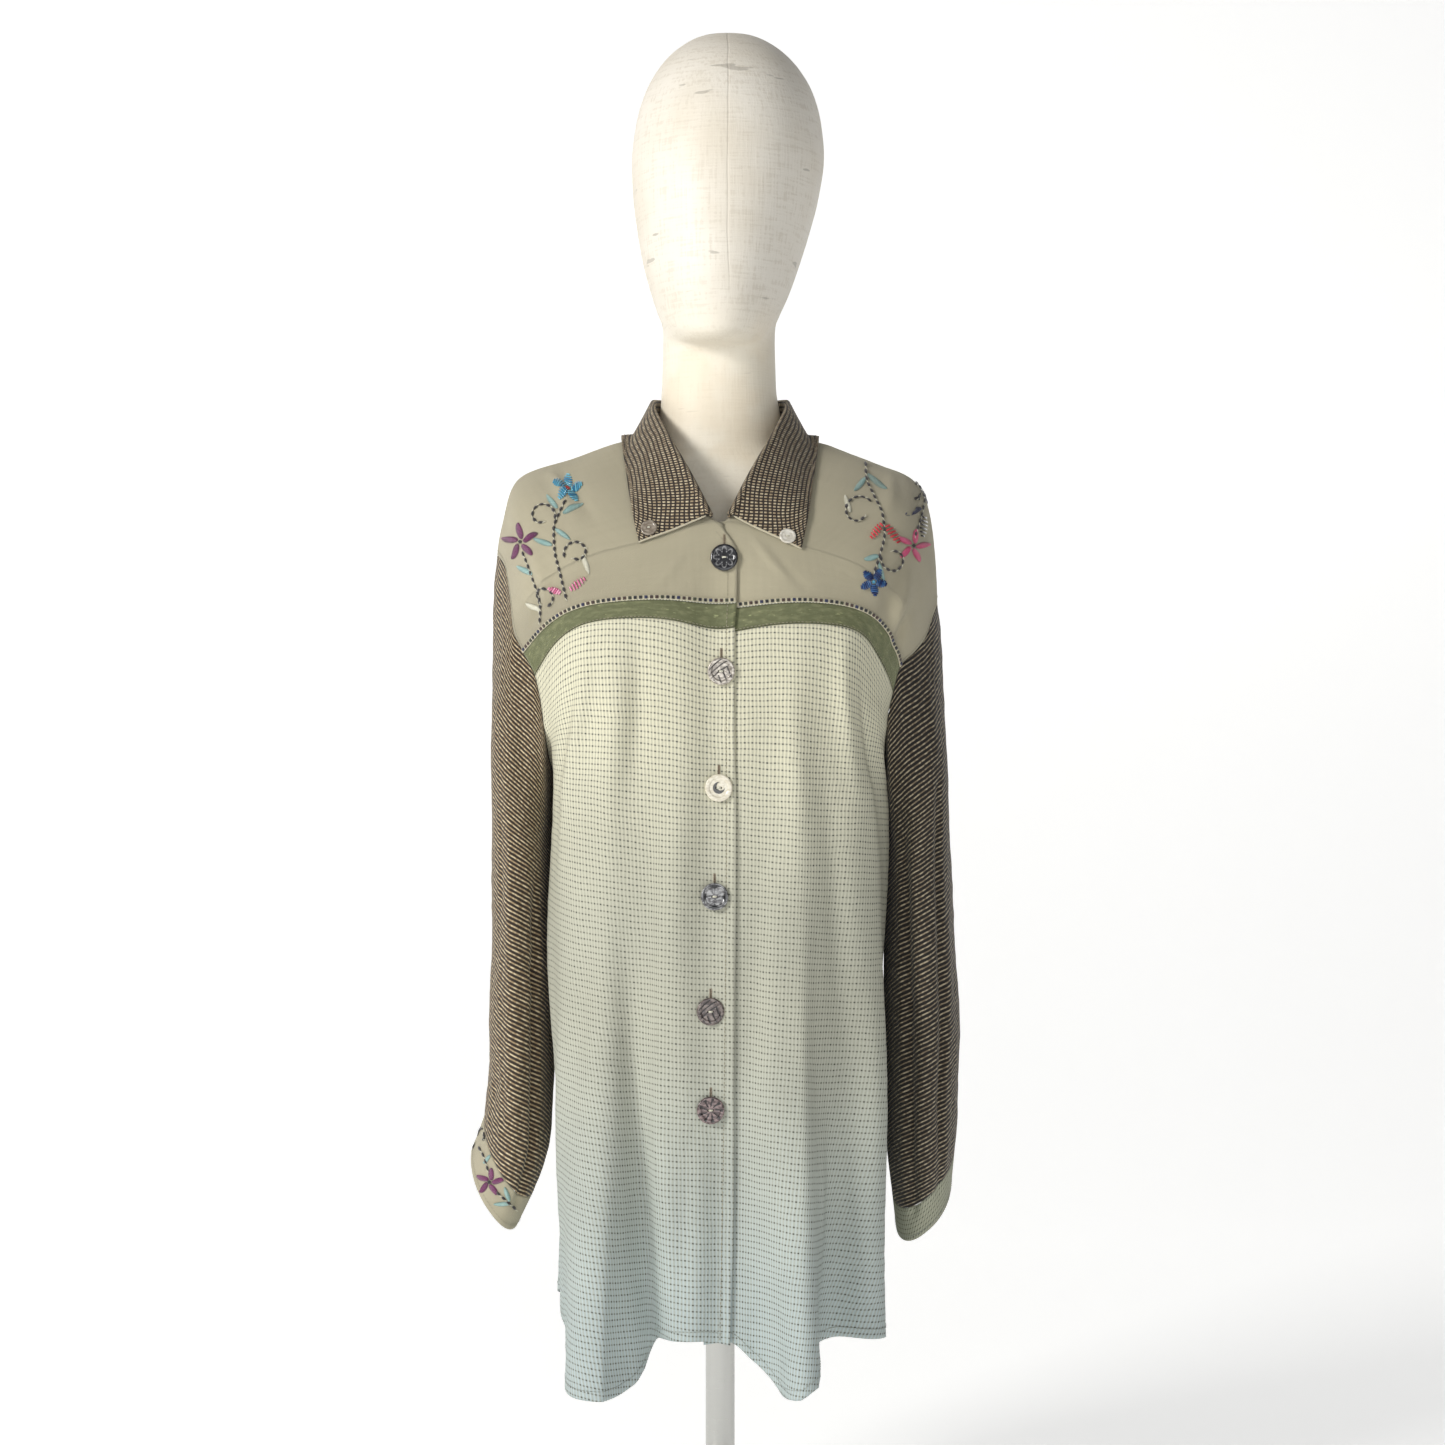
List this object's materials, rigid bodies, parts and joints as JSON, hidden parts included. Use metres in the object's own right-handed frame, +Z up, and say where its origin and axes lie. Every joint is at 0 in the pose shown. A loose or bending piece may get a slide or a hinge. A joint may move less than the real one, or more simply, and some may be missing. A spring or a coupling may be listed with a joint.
{
  "type": "embroidered blouse on a limbless dress form",
  "caption": "Long-sleeved cloth blouse with fold-over collar, yoke, ribbon band and buttoned front, standing on an egg-head dress form with a pole and a round foot.",
  "frame": {"origin": "the middle of the underside of the stand's round foot, on the floor", "axes": "+Z up, the blouse's front faces -Y, +X is the viewer's right"},
  "size_m": [0.4224, 0.3212, 1.3065],
  "materials": {
    "khaki": "plain woven cotton, matt",
    "check": "thin cotton with a fine checked weave, matt",
    "tweed": "dark woven cloth with short pale dashes, matt",
    "velvet": "crushed velvet ribbon with a sheen",
    "linen": "linen glued over the form, matt with a soft gloss",
    "steel": "brushed steel",
    "black": "glossy, carved with petals",
    "shell": "carved shell with a pearly gloss"
  },
  "bodies": {
    "root": {"yoke_back": "khaki", "yoke_front_left": "khaki", "yoke_front_right": "khaki", "cuff_right": "khaki", "front_left": "check", "front_right": "check", "back": "check", "cuff_left": "check", "band_left": "velvet", "band_right": "velvet", "sleeve_left": "tweed", "sleeve_right": "tweed", "collar": "tweed", "dress_form": "linen", "pole": "steel", "base": "steel", "button_1": "black", "button_2": "shell", "button_3": "shell", "button_4": "shell", "button_5": "shell", "button_6": "shell", "collar_button_left": "shell", "collar_button_right": "shell"}
  },
  "joints": []
}
